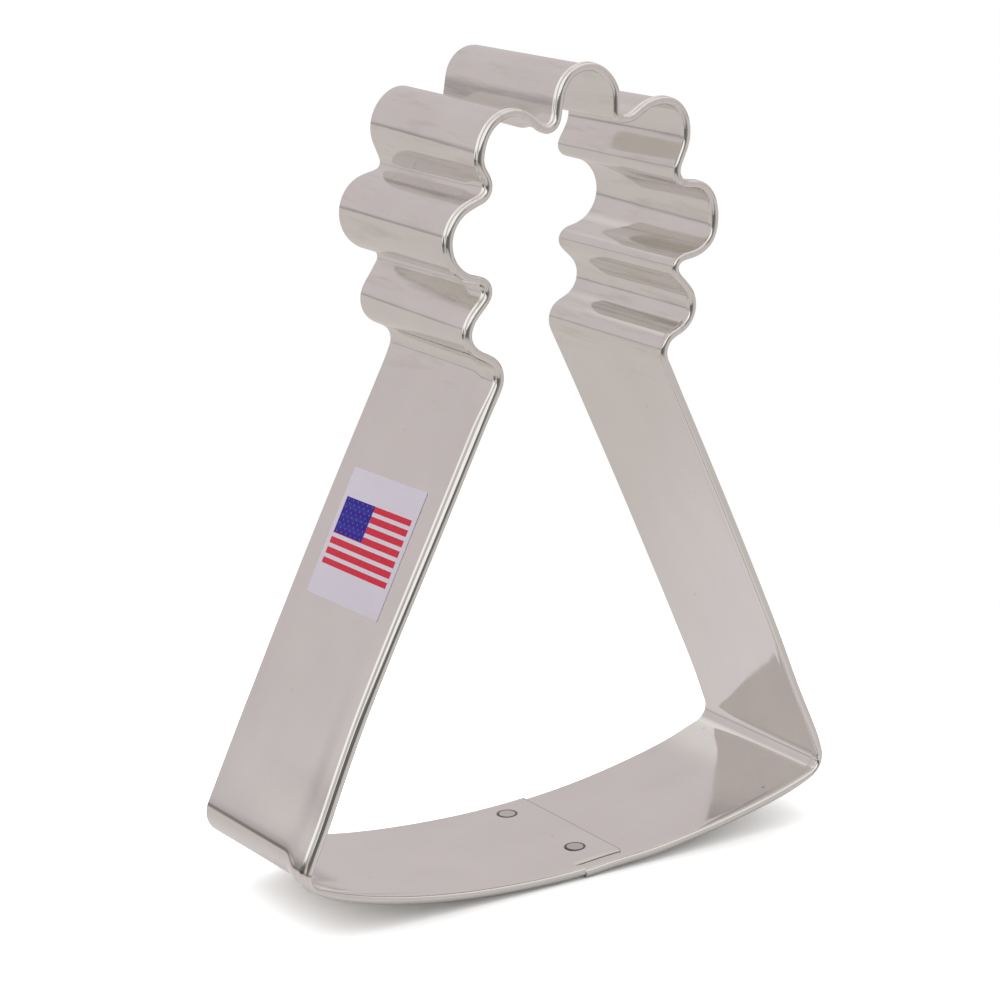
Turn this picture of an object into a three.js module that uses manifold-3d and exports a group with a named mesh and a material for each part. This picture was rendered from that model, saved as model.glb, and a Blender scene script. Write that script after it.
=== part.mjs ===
// Party-hat cookie cutter: one tinplate strip, hemmed along its front edge, bent round pegs into a hat with
// a scalloped pompom, lapped and spot welded at the middle of the brim, with a paper label on one side.
// X is across the hat, Y runs from the hemmed rim back to the cutting edge, and Z is up.
import * as THREE from 'three';
import { mergeVertices } from 'three/addons/utils/BufferGeometryUtils.js';
import Module from 'manifold-3d';

// Strip, in millimetres
const stripDepth = 25.4;
const sheetThickness = 0.3;

// Hem: near the front edge the sheet slopes inward, then folds outward round a nose as a closed teardrop,
// with its raw edge back against the sheet outside
const hemThickness = 1.1;
const hemReturn = 1.4;
const hemGap = 0.1;
const hemSlope = 1.6;
const hemSet = 0.35;

// Brim, corners and slightly bowed sides, measured on the middle of the sheet
const brimRadius = 127;
const brimWidth = 78.8;
const cornerRadius = 3.8;
const sideRadius = 1300;

// Neck bend, held under the lowest lobe of the pompom by a short straight flank
const neckRadius = 2.5;
const neckFlank = 0.92;
const neckLean = 12.5;

// Pompom: height of its centre above the middle of the brim, and for each lobe its angle above the
// horizontal, its distance from that centre and its bend radius
const pompomHeight = 83.4;
const lowLobe = { angle: -39.4, reach: 17.2, radius: 3.25 };
const sideLobe = { angle: 0, reach: 14.9, radius: 4.6 };
const highLobe = { angle: 44.4, reach: 14.8, radius: 4.35 };
const topLobe = { angle: 90, reach: 15.7, radius: 3.95 };

// Grooves between lobes: bend radius, place along the line between two lobes, and lift outside that line
const lowGroove = { radius: 1.4, share: 0.46, lift: 1.1 };
const highGroove = { radius: 1.5, share: 0.505, lift: 2.6 };
const topGroove = { radius: 1.4, share: 0.495, lift: 0.7 };

// Seam at the bottom: the hem stops right of the middle, and a hemless tongue runs on inside the other end
const seamOffset = 1.25;
const hemEndGap = 0.1;
const tongueLength = 7.4;
const lapGap = 0.04;

// Spot welds through both layers of the lap, and their places along the lap and back from the rim: the rear
// one keeps its distance from the cutting edge, the front one from the rim
const weldRadius = 1.4;
const weldDish = 0.07;
const weldDishRadius = 1.05;
const weldClearance = 0.03;
const rearWeldFromEdge = 3.35;
const rearWeldPlace = { fromTongueEnd: 4.9, fromRim: stripDepth - rearWeldFromEdge };
const frontWeldPlace = { fromTongueEnd: 4.15, fromRim: 7.15 };

// Paper label on the left side: its place up the side from the brim corner and from the cutting edge, and
// its tilt about its own middle
const labelSize = 16.7;
const labelThickness = 0.1;
const labelCornerRadius = 0.4;
const labelUpSide = 37.3;
const labelFromEdge = 12.2;
const labelTilt = 1;
const labelGap = 0.03;

// Fineness of the facets
const largestSag = 0.02;
const largestTurn = THREE.MathUtils.degToRad(15);
const noseDivisions = 3;
const roundSegments = 20;

const wasm = await Module();
wasm.setup();

const frontY = -stripDepth / 2;
const backY = stripDepth / 2;
const tongueY = frontY + hemReturn + hemSlope;
const halfSheet = sheetThickness / 2;
const hemTop = hemThickness - hemSet - halfSheet;
const layerOffset = (sheetThickness + lapGap) / 2;
const downAngle = -Math.PI / 2;
const cornerReach = brimWidth / 2 - cornerRadius;

// The strip's two ends run on either side of the brim's mean arc, the tongue's end inside
const innerBrimRadius = brimRadius - layerOffset;
const outerBrimRadius = brimRadius + layerOffset;
const hemEndAngle = seamOffset / brimRadius;
const tailEndAngle = (seamOffset + hemEndGap) / brimRadius;
const tongueEndAngle = (seamOffset + tongueLength) / brimRadius;

// A peg that the strip bends round: turn is 1 with the peg inside the outline and -1 with it outside
function makePeg(centre, radius, turn) {
  return { centre, radius, turn };
}

function lobePeg(lobe) {
  const angle = THREE.MathUtils.degToRad(180 - lobe.angle);
  const centre = new THREE.Vector2(Math.cos(angle), Math.sin(angle)).multiplyScalar(lobe.reach);
  centre.y += pompomHeight;
  return makePeg(centre, lobe.radius, 1);
}

// A groove's peg lies outside the line between its two lobes, and clear of both
function groovePeg(groove, lower, upper) {
  const line = upper.centre.clone().sub(lower.centre);
  const below = line.length() * groove.share;
  const above = line.length() - below;
  const lowerClear = (lower.radius + groove.radius) ** 2 - below ** 2;
  const upperClear = (upper.radius + groove.radius) ** 2 - above ** 2;
  const lift = Math.sqrt(Math.max(groove.lift ** 2, lowerClear, upperClear));
  const outward = new THREE.Vector2(-line.y, line.x).normalize();
  const centre = lower.centre.clone().lerp(upper.centre, groove.share).addScaledVector(outward, lift);
  return makePeg(centre, groove.radius, -1);
}

function neckPeg(lobe) {
  const reach = Math.hypot(lobe.radius + neckRadius, neckFlank);
  const lean = THREE.MathUtils.degToRad(neckLean);
  const centre = new THREE.Vector2(-Math.sin(lean), -Math.cos(lean)).multiplyScalar(reach).add(lobe.centre);
  return makePeg(centre, neckRadius, -1);
}

function brimPeg(radius) {
  return makePeg(new THREE.Vector2(0, brimRadius), radius, 1);
}

// The corner bend is tangent to the brim's arc from the inside
function cornerPeg(brim) {
  const drop = Math.sqrt((brim.radius - cornerRadius) ** 2 - cornerReach ** 2);
  return makePeg(new THREE.Vector2(-cornerReach, brimRadius - drop), cornerRadius, 1);
}

// The side is one long bow, tangent to the corner bend from outside it and to the neck bend
function sidePeg(corner, neck) {
  const line = neck.centre.clone().sub(corner.centre);
  const length = line.length();
  const fromCorner = sideRadius - corner.radius;
  const fromNeck = sideRadius + neck.radius;
  const along = (fromCorner ** 2 - fromNeck ** 2 + length ** 2) / (2 * length);
  const across = Math.sqrt(fromCorner ** 2 - along ** 2);
  line.normalize();
  const inward = new THREE.Vector2(line.y, -line.x);
  const centre = corner.centre.clone().addScaledVector(line, along).addScaledVector(inward, across);
  return makePeg(centre, sideRadius, 1);
}

function mirrored(peg) {
  return makePeg(new THREE.Vector2(-peg.centre.x, peg.centre.y), peg.radius, peg.turn);
}

// Pegs in the strip's order: from the seam to the left, up, over the pompom and down to the seam again
function outlinePegs() {
  const low = lobePeg(lowLobe);
  const side = lobePeg(sideLobe);
  const high = lobePeg(highLobe);
  const top = lobePeg(topLobe);
  const neck = neckPeg(low);
  const half = [
    neck, low, groovePeg(lowGroove, low, side), side,
    groovePeg(highGroove, side, high), high, groovePeg(topGroove, high, top),
  ];
  const innerBrim = brimPeg(innerBrimRadius);
  const outerBrim = brimPeg(outerBrimRadius);
  const left = [cornerPeg(innerBrim)];
  const right = [cornerPeg(outerBrim)];
  left.push(sidePeg(left[0], neck), ...half);
  right.push(sidePeg(right[0], neck), ...half);
  return [innerBrim, ...left, top, ...right.map(mirrored).reverse(), outerBrim];
}

// Inward normal of the straight run that touches two neighbouring pegs
function runNormal(from, to) {
  const line = to.centre.clone().sub(from.centre);
  const along = (to.turn * to.radius - from.turn * from.radius) / line.length();
  const across = Math.sqrt(Math.max(0, 1 - along ** 2));
  line.normalize();
  return new THREE.Vector2(along * line.x + across * line.y, along * line.y - across * line.x);
}

function contactAngle(peg, normal) {
  return Math.atan2(-peg.turn * normal.y, -peg.turn * normal.x);
}

// Places along one bend, each with its point and the direction out of the outline
function bendStations(peg, startAngle, endAngle) {
  const { centre, radius, turn } = peg;
  const arc = new THREE.ArcCurve(centre.x, centre.y, radius, startAngle, endAngle, turn > 0);
  const step = Math.min(largestTurn, 2 * Math.acos(1 - largestSag / radius));
  const steps = Math.ceil(arc.getLength() / radius / step);
  return arc.getPoints(steps).map((point) => {
    const outward = point.clone().sub(centre).multiplyScalar(turn / radius);
    return { point, outward };
  });
}

function outlineStations(pegs, startAngle, endAngle) {
  const normals = pegs.slice(1).map((peg, i) => runNormal(pegs[i], peg));
  const last = pegs.length - 1;
  const stations = pegs.flatMap((peg, i) => {
    const from = i === 0 ? startAngle : contactAngle(peg, normals[i - 1]);
    const to = i === last ? endAngle : contactAngle(peg, normals[i]);
    return bendStations(peg, from, to);
  });
  const apart = sheetThickness / 100;
  return stations.filter((s, i) => i === 0 || s.point.distanceTo(stations[i - 1].point) > apart);
}

// Hem section from the sheet's outer face round to its inner face, starting and ending in line with the
// tongue's front edge: depth along its first axis, distance out of the outline along its second
function hemContour() {
  const noseRadius = hemThickness / 2;
  const foldRadius = noseRadius - sheetThickness;
  const nose = new THREE.Vector2(frontY + noseRadius, hemTop - noseRadius);
  const seat = new THREE.Vector2(frontY + hemReturn, halfSheet - hemSet);
  const underEdge = seat.clone().add(new THREE.Vector2(0, hemGap));
  const reach = underEdge.clone().sub(nose);
  const top = Math.PI / 2;
  const bottom = 1.5 * Math.PI;
  const wrap = Math.atan2(reach.y, reach.x) + Math.acos(foldRadius / reach.length());
  const overEdge = new THREE.Vector2(Math.cos(wrap), Math.sin(wrap)).multiplyScalar(sheetThickness);
  overEdge.add(underEdge);
  const arc = (radius, from, to, steps) => {
    return new THREE.ArcCurve(nose.x, nose.y, radius, from, to, from > to).getPoints(steps);
  };
  return [
    new THREE.Vector2(tongueY, halfSheet), seat,
    ...arc(foldRadius, bottom, wrap, 2 * noseDivisions), underEdge, overEdge,
    ...arc(noseRadius, wrap, top, 1), ...arc(noseRadius, top, bottom, 2 * noseDivisions).slice(1),
    new THREE.Vector2(seat.x, -halfSheet - hemSet), new THREE.Vector2(tongueY, -halfSheet),
  ];
}

function stationPoint({ point, outward }, place) {
  return new THREE.Vector3(point.x + outward.x * place.y, place.x, point.y + outward.y * place.y);
}

// Triangles of a closed contour carried along the stations, open at both ends
function sweepTriangles(contour, stations) {
  const triangles = [];
  for (let s = 1; s < stations.length; s++) {
    contour.forEach((place, i) => {
      const next = contour[(i + 1) % contour.length];
      const a = stationPoint(stations[s - 1], place);
      const b = stationPoint(stations[s - 1], next);
      const c = stationPoint(stations[s], next);
      const d = stationPoint(stations[s], place);
      triangles.push(a, b, c, a, c, d);
    });
  }
  return triangles;
}

// Triangles of a contour's flat end, facing along the strip or back against it
function endTriangles(contour, station, facesAlong) {
  return THREE.ShapeUtils.triangulateShape(contour, []).flatMap((corners) => {
    const triangle = corners.map((corner) => stationPoint(station, contour[corner]));
    return facesAlong ? triangle : triangle.reverse();
  });
}

// The whole strip: the hemless tongue first, then the hemmed run that goes round the outline
function stripGeometry(stations) {
  const hem = hemContour();
  const backEdge = [new THREE.Vector2(backY, -halfSheet), new THREE.Vector2(backY, halfSheet)];
  const hemmed = [...backEdge, ...hem];
  const tongue = [...backEdge, hem[0], hem[hem.length - 1]];
  const innerBrim = brimPeg(innerBrimRadius);
  const tongueStations = bendStations(innerBrim, downAngle + tongueEndAngle, downAngle + hemEndAngle);
  tongueStations[tongueStations.length - 1] = stations[0];
  return new THREE.BufferGeometry().setFromPoints([
    ...endTriangles(tongue, tongueStations[0], false),
    ...sweepTriangles(tongue, tongueStations),
    ...endTriangles(hem, stations[0], false),
    ...sweepTriangles(hemmed, stations),
    ...endTriangles(hemmed, stations[stations.length - 1], true),
  ]);
}

function toSolid(geometry) {
  const plain = geometry.clone();
  plain.deleteAttribute('normal');
  plain.deleteAttribute('uv');
  const merged = mergeVertices(plain);
  return new wasm.Manifold(new wasm.Mesh({
    numProp: 3,
    vertProperties: Float32Array.from(merged.attributes.position.array),
    triVerts: Uint32Array.from(merged.index.array),
  }));
}

function toGeometry(solid) {
  const mesh = solid.getMesh();
  const geometry = new THREE.BufferGeometry();
  geometry.setAttribute('position', new THREE.BufferAttribute(mesh.vertProperties, 3));
  geometry.setIndex(new THREE.BufferAttribute(mesh.triVerts, 1));
  geometry.computeVertexNormals();
  return geometry;
}

// Turns a shape made about the Y axis so that the axis crosses the lap, and moves it to a weld's place
function placeAtWeld(geometry, place) {
  const angle = (seamOffset + tongueLength - place.fromTongueEnd) / brimRadius;
  const y = frontY + place.fromRim;
  geometry.rotateX(Math.PI / 2);
  geometry.rotateY(-angle);
  return geometry.translate(brimRadius * Math.sin(angle), y, brimRadius * (1 - Math.cos(angle)));
}

function bandGeometry(stations, weldPlaces) {
  let band = toSolid(stripGeometry(stations));
  for (const place of weldPlaces) {
    const holeRadius = weldRadius + weldClearance;
    const hole = new THREE.CylinderGeometry(holeRadius, holeRadius, 6 * sheetThickness, roundSegments);
    band = band.subtract(toSolid(placeAtWeld(hole, place)));
  }
  return toGeometry(band);
}

// A weld fills both layers and is dished by the electrodes on both faces
function weldGeometry(place) {
  const halfHeight = layerOffset + halfSheet;
  const profile = [
    [0, -halfHeight + weldDish], [weldDishRadius, -halfHeight + weldDish], [weldRadius, -halfHeight],
    [weldRadius, halfHeight], [weldDishRadius, halfHeight - weldDish], [0, halfHeight - weldDish],
  ].map(([r, h]) => new THREE.Vector2(r, h));
  return placeAtWeld(new THREE.LatheGeometry(profile, roundSegments), place);
}

function labelGeometry() {
  const half = labelSize / 2;
  const inset = half - labelCornerRadius;
  const outline = new THREE.Shape();
  for (let quarter = 0; quarter < 4; quarter++) {
    const start = quarter * Math.PI / 2;
    const centre = new THREE.Vector2(inset, inset).rotateAround(new THREE.Vector2(), start);
    outline.absarc(centre.x, centre.y, labelCornerRadius, start, start + Math.PI / 2, false);
  }
  const settings = { depth: labelThickness, bevelEnabled: false, curveSegments: noseDivisions };
  return new THREE.ExtrudeGeometry(outline, settings);
}

// The label lies on the left side, with its top towards the pompom
function placeLabel(mesh, corner, side) {
  const angle = contactAngle(side, runNormal(corner, side)) - labelUpSide / side.radius;
  const outward = new THREE.Vector3(Math.cos(angle), 0, Math.sin(angle));
  const upSide = new THREE.Vector3(outward.z, 0, -outward.x);
  const across = upSide.clone().cross(outward);
  mesh.quaternion.setFromRotationMatrix(new THREE.Matrix4().makeBasis(across, upSide, outward));
  mesh.position.set(side.centre.x, backY - labelFromEdge, side.centre.y);
  mesh.position.addScaledVector(outward, side.radius + halfSheet + labelGap);
  mesh.rotateZ(THREE.MathUtils.degToRad(labelTilt));
}

function makeMesh(name, geometry, color, roughness, metalness) {
  const mesh = new THREE.Mesh(geometry, new THREE.MeshStandardMaterial({ color, roughness, metalness }));
  mesh.name = name;
  return mesh;
}

const pegs = outlinePegs();
const stations = outlineStations(pegs, downAngle + hemEndAngle, downAngle + tailEndAngle);
const strip = bandGeometry(stations, [rearWeldPlace, frontWeldPlace]);

const band = makeMesh('steel_band', strip, 0xbfb6b2, 0.22, 1);
const rearWeld = makeMesh('spot_weld_rear', weldGeometry(rearWeldPlace), 0xb1a9a5, 0.35, 1);
const frontWeld = makeMesh('spot_weld_front', weldGeometry(frontWeldPlace), 0xb1a9a5, 0.35, 1);
const label = makeMesh('label', labelGeometry(), 0xe6e2ec, 0.55, 0);
placeLabel(label, pegs[1], pegs[2]);

// The hem at the strip's outer end is the lowest point, and the cutter stands on it
const cutter = new THREE.Group();
cutter.add(band, rearWeld, frontWeld, label);
cutter.position.z = (outerBrimRadius + hemTop) * Math.cos(tailEndAngle) - brimRadius;

export default cutter;
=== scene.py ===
import math

import bmesh
import bpy
from mathutils import Matrix, Vector


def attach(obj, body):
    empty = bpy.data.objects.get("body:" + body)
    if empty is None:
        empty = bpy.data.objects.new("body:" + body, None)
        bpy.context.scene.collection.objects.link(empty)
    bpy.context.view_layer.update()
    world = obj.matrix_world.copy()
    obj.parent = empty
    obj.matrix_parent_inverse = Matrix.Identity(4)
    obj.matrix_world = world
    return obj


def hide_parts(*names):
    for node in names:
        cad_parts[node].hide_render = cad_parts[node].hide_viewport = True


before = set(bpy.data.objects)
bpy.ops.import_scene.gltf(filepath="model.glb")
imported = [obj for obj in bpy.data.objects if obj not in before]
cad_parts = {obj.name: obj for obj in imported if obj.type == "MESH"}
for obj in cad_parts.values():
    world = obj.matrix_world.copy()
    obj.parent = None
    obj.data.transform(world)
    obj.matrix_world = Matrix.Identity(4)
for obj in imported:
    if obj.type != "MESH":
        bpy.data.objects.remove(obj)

mm = 0.001
white = (1, 1, 1, 1)
scene = bpy.context.scene
scene.view_settings.view_transform = "Standard"
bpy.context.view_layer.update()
print("frame loaded:", ", ".join(sorted(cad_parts)))


# small helpers for node trees
def addNode(tree, kind, values=None, **settings):
    node = tree.nodes.new(kind)
    for key, value in settings.items():
        setattr(node, key, value)
    for key, value in (values or {}).items():
        node.inputs[key].default_value = value
    return node


def wire(tree, *pairs):
    for source, target in pairs:
        tree.links.new(source, target)


# another node's output is linked to the socket, a plain value is set on it
def feed(tree, socket, value):
    if isinstance(value, bpy.types.NodeSocket):
        tree.links.new(value, socket)
    else:
        socket.default_value = value


def mathNode(tree, operation, a, b=None, clamp=False):
    node = addNode(tree, "ShaderNodeMath", operation=operation, use_clamp=clamp)
    feed(tree, node.inputs[0], a)
    if b is not None:
        feed(tree, node.inputs[1], b)
    return node.outputs[0]


def plus(tree, a, b, clamp=False):
    return mathNode(tree, "ADD", a, b, clamp)


def minus(tree, a, b):
    return mathNode(tree, "SUBTRACT", a, b)


def times(tree, a, b):
    return mathNode(tree, "MULTIPLY", a, b)


def larger(tree, a, b):
    return b if a is None else mathNode(tree, "MAXIMUM", a, b)


def vectorNode(tree, operation, a, b=None):
    node = addNode(tree, "ShaderNodeVectorMath", operation=operation)
    feed(tree, node.inputs[0], a)
    if b is not None:
        feed(tree, node.inputs["Scale" if operation == "SCALE" else 1], b)
    return node.outputs["Value" if operation in ("DISTANCE", "DOT_PRODUCT", "LENGTH") else "Vector"]


def parted(tree, vector):
    node = addNode(tree, "ShaderNodeSeparateXYZ")
    wire(tree, (vector, node.inputs[0]))
    return node.outputs[0], node.outputs[1], node.outputs[2]


def combined(tree, *values):
    node = addNode(tree, "ShaderNodeCombineXYZ")
    for socket, value in zip(node.inputs, values):
        feed(tree, socket, value)
    return node.outputs[0]


mixSockets = {"RGBA": (6, 7, 2), "VECTOR": (4, 5, 1)}  # first input, second input and output of the Mix node


def mixed(tree, factor, a, b, kind="RGBA"):
    node = addNode(tree, "ShaderNodeMix", data_type=kind)
    first, second, result = mixSockets[kind]
    for index, value in ((0, factor), (first, a), (second, b)):
        feed(tree, node.inputs[index], value)
    return node.outputs[result]


def mixShaders(tree, factor, a, b):
    node = addNode(tree, "ShaderNodeMixShader")
    wire(tree, (factor, node.inputs[0]), (a, node.inputs[1]), (b, node.inputs[2]))
    return node.outputs[0]


def rangeNode(tree, value, low, high, outLow=0.0, outHigh=1.0, kind="LINEAR"):
    node = addNode(tree, "ShaderNodeMapRange", interpolation_type=kind)
    for socket, number in zip(node.inputs[:5], (value, low, high, outLow, outHigh)):
        feed(tree, socket, number)
    return node.outputs[0]


def fade(tree, value, low, high, outLow=0.0, outHigh=1.0):
    return rangeNode(tree, value, low, high, outLow, outHigh, "SMOOTHSTEP")


def stretched(tree, vector, scale):
    node = addNode(tree, "ShaderNodeMapping", {"Scale": scale})
    wire(tree, (vector, node.inputs["Vector"]))
    return node.outputs[0]


def noiseNode(tree, vector, scale, detail=2.0, roughness=0.5):
    node = addNode(tree, "ShaderNodeTexNoise", {"Scale": scale, "Detail": detail, "Roughness": roughness})
    wire(tree, (vector, node.inputs["Vector"]))
    return node.outputs[0]


def objectCoords(tree):
    return addNode(tree, "ShaderNodeTexCoord").outputs["Object"]


def newMaterial(name):
    material = bpy.data.materials.new(name)
    material.use_nodes = True
    tree = material.node_tree
    return material, tree, tree.nodes["Principled BSDF"]


# a material without its usual shader, for the stage
def bareMaterial(name):
    material, tree, shader = newMaterial(name)
    tree.nodes.remove(shader)
    return material, tree, tree.nodes["Material Output"].inputs["Surface"]


# colour, gloss and a fine bump, whose height is in mm
def dress(tree, shader, colour, rough, height, bumpStrength, bumpHeight):
    bump = addNode(tree, "ShaderNodeBump", {"Strength": bumpStrength, "Distance": bumpHeight * mm})
    wire(tree, (height, bump.inputs["Height"]), (bump.outputs[0], shader.inputs["Normal"]),
         (colour, shader.inputs["Base Color"]), (rough, shader.inputs["Roughness"]))


# a group's sockets, named by their kind
def groupSockets(tree, inputs, outputs):
    for way, sockets in (("INPUT", inputs), ("OUTPUT", outputs)):
        for kind, names in sockets.items():
            for name in names:
                tree.interface.new_socket(name, in_out=way, socket_type="NodeSocket" + kind)
    return tree.nodes.new("NodeGroupInput").outputs, tree.nodes.new("NodeGroupOutput").inputs


def linkObject(name, data):
    thing = bpy.data.objects.new(name, data)
    scene.collection.objects.link(thing)
    return thing


# the hat's outline, all in mm and degrees
outline = {
    "brimRadius": 127.0, "sideRadius": 1300.0, "pompomHeight": 83.4,
    "neckRadius": 2.5, "neckFlank": 0.92, "neckLean": 12.5,
    "lobes": [(-39.4, 17.2, 3.25), (0.0, 14.9, 4.6), (44.4, 14.8, 4.35), (90.0, 15.7, 3.95)],  # angle, reach, radius
    "grooves": [(1.4, 0.46, 1.1), (1.5, 0.505, 2.6), (1.4, 0.495, 0.7)],  # radius, share, lift
    "layerOffset": 0.17, "hemEnd": 1.25, "tailEnd": 1.35, "tongueEnd": 8.65,  # ends are lengths from the middle
    "brimWidth": 78.8, "cornerRadius": 3.8, "widthShare": 0.84,  # a tighter corner makes the brim this much wider
    "soften": 0.5, "softMargin": 3,  # reach of the softening between bends and flanks, and stations kept out of it
    "turnStep": 5.5, "longStep": 1.1, "tightBend": 10.0, "flankStep": 0.45, "sameSpot": 0.02,  # how close stations are
}
# bends are tighter in the plain sheet than beside the stiff hem; the label goes by the even outline between them
sheetZone = {"leftCorner": 3.0, "rightCorner": 2.3, "grooveGrow": -0.45, "neckGrow": -0.6, "rightShare": -0.15}
rimZone = {"leftCorner": 1.8, "rightCorner": 2.3, "grooveGrow": 0.1, "neckGrow": 0.1, "rightShare": 1.0}
plainZone = {"leftCorner": 3.8, "rightCorner": 3.8, "grooveGrow": 0.0, "neckGrow": 0.0, "rightShare": 1.0}
# bent by hand, so the outline wanders a little: place on it, reach and shift
wander = {
    "rim": [
        ((-38.9, 6.4), 4.5, (0.7, 0.1)), ((39.1, 6.4), 4.0, (-0.2, 0.1)), ((-35.5, 12.5), 6.0, (0.8, 0.2)),
        ((-19.5, 50.0), 14.0, (0.25, 0.1)), ((-24.0, 2.4), 13.0, (0.0, -0.28)), ((20.0, 1.6), 16.0, (0.0, 0.25)),
        ((6.0, 0.15), 4.5, (0.0, 0.25)), ((-5.65, 95.6), 1.8, (0.0, 0.1)), ((-14.5, 89.0), 1.8, (-0.3, 0.1)),
        ((-13.0, 66.6), 2.0, (-0.1, -0.27)), ((-10.6, 98.0), 3.5, (0.0, 0.15)), ((13.2, 97.0), 3.5, (0.3, 0.35)),
        ((5.65, 95.6), 1.8, (0.0, 0.6)), ((3.9, 99.3), 2.5, (0.35, 0.0)), ((18.5, 80.5), 3.0, (0.35, -0.25)),
        ((18.6, 87.0), 3.0, (0.25, 0.15)), ((15.2, 89.0), 1.8, (-0.2, -0.45)), ((13.4, 77.6), 1.8, (-0.25, 0.05)),
        ((-15.6, 71.6), 2.0, (-0.35, 0.0)), ((33.5, 18.0), 6.0, (-0.25, 0.0)), ((-34.0, 19.5), 7.0, (0.3, 0.0)),
        ((-14.1, 92.4), 1.6, (-0.4, 0.0)),
    ],
    "edge": [
        ((-24.0, 2.4), 13.0, (0.0, -0.3)), ((37.5, 7.5), 4.0, (-0.55, 0.25)), ((-14.2, 77.8), 2.2, (-0.7, 0.0)),
        ((-12.8, 67.5), 2.0, (-0.3, 0.0)), ((-5.65, 95.6), 1.8, (0.0, 0.8)), ((-10.6, 98.0), 3.5, (0.0, 0.5)),
        ((13.2, 97.0), 3.5, (0.0, 0.1)), ((5.65, 95.6), 1.8, (0.0, 0.2)), ((13.6, 89.5), 2.2, (-0.45, -0.1)),
        ((14.2, 77.2), 2.2, (-0.3, -0.1)), ((-17.5, 84.5), 6.0, (0.0, 0.2)),
    ],
}
strip = {
    "depth": 25.4, "thickness": 0.3, "edgeBreak": 0.04, "ripple": 0.035, "blendStart": 3.4, "blendEnd": 6.4,
    "rippleScale": 110.0, "rippleStretch": (1.0, 0.55, 0.0),
    "sheetSteps": [0, 0.25, 0.5, 0.75, 1, 1.3, 1.6, 1.9, 2.3, 2.8, 3.5, 4.5, 6, 8, 10.5, 13, 15.5, 18, 20, 21.6],
    "hemThickness": 1.1, "hemReturn": 1.4, "hemSlope": 1.6, "hemSet": 0.35, "stepFront": 1.5, "stepBack": 2.1,
    "stepShear": 0.3, "flapLift": 80.0, "plainCuts": 5, "stepCuts": 10, "insideCuts": 18, "noseCuts": 36,
    # flap behind the fold: depth from the rim, height over the sheet's middle, share of the fold's pressing
    "flapUnder": [(0.9, 0.26, 0.8), (1.25, 0.225, 0.5), (1.76, 0.21, 0.3)],
    "flapOver": [(1.83, 0.25, 0.3), (1.86, 0.36, 0.3), (1.83, 0.5, 0.3), (1.76, 0.555, 0.3), (1.66, 0.56, 0.35),
                 (1.5, 0.535, 0.4), (1.34, 0.505, 0.5), (1.18, 0.49, 0.6), (1.02, 0.505, 0.7), (0.86, 0.55, 0.85)],
    "cornerSquash": 0.35, "squashReach": 2.6, "pompomSquash": 0.15, "squashFrom": 64.0, "squashTo": 69.0,
    "sideShallow": 0.12, "pompomShallow": 0.48, "shallowFrom": 60.0, "shallowTo": 66.0,
    "tongueNose": 0.24, "tongueLip": 0.07, "wornCuts": 8, "sharpAngle": 38.0, "mergeReach": 0.002,
}
frontY = -strip["depth"] / 2
backY = strip["depth"] / 2
halfSheet = strip["thickness"] / 2
tongueY = frontY + strip["hemReturn"] + strip["hemSlope"]
hemTop = strip["hemThickness"] - strip["hemSet"] - halfSheet
outerBrim = outline["brimRadius"] + outline["layerOffset"]
standHeight = (outerBrim + hemTop) * math.cos(outline["tailEnd"] / outline["brimRadius"]) - outline["brimRadius"]


def bendAt(centre, radius, turn):
    return {"centre": Vector(centre), "radius": radius, "turn": turn}


def runNormal(first, second):
    line = second["centre"] - first["centre"]
    along = (second["turn"] * second["radius"] - first["turn"] * first["radius"]) / line.length
    across = math.sqrt(max(0.0, 1 - along * along))
    line.normalize()
    return Vector((along * line.x + across * line.y, along * line.y - across * line.x))


# the same flanks, with a rounder or a tighter bend between them
def regrown(first, bend, second, grow):
    inNormal, outNormal = runNormal(first, bend), runNormal(bend, second)
    shift = (inNormal + outNormal) * (bend["turn"] * grow / (1 + inNormal.dot(outNormal)))
    return bendAt(bend["centre"] + shift, bend["radius"] + grow, bend["turn"])


def grooveBend(groove, lower, upper):
    radius, share, lift = groove
    line = upper["centre"] - lower["centre"]
    below = line.length * share
    above = line.length - below
    clear = max((lower["radius"] + radius) ** 2 - below ** 2, (upper["radius"] + radius) ** 2 - above ** 2)
    outward = Vector((-line.y, line.x)).normalized()
    return bendAt(lower["centre"] + line * share + outward * math.sqrt(max(lift ** 2, clear)), radius, -1)


def cornerBend(brim, radius):
    width = outline["brimWidth"] + outline["widthShare"] * (outline["cornerRadius"] - radius)
    reach = width / 2 - radius
    drop = math.sqrt((brim["radius"] - radius) ** 2 - reach ** 2)
    return bendAt((-reach, outline["brimRadius"] - drop), radius, 1)


def sideBend(corner, neck):
    line = neck["centre"] - corner["centre"]
    length = line.length
    fromCorner = outline["sideRadius"] - corner["radius"]
    fromNeck = outline["sideRadius"] + neck["radius"]
    along = (fromCorner ** 2 - fromNeck ** 2 + length ** 2) / (2 * length)
    line.normalize()
    across = math.sqrt(fromCorner ** 2 - along ** 2)
    return bendAt(corner["centre"] + line * along + Vector((line.y, -line.x)) * across, outline["sideRadius"], 1)


def mirrored(bend):
    return bendAt((-bend["centre"].x, bend["centre"].y), bend["radius"], bend["turn"])


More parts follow.
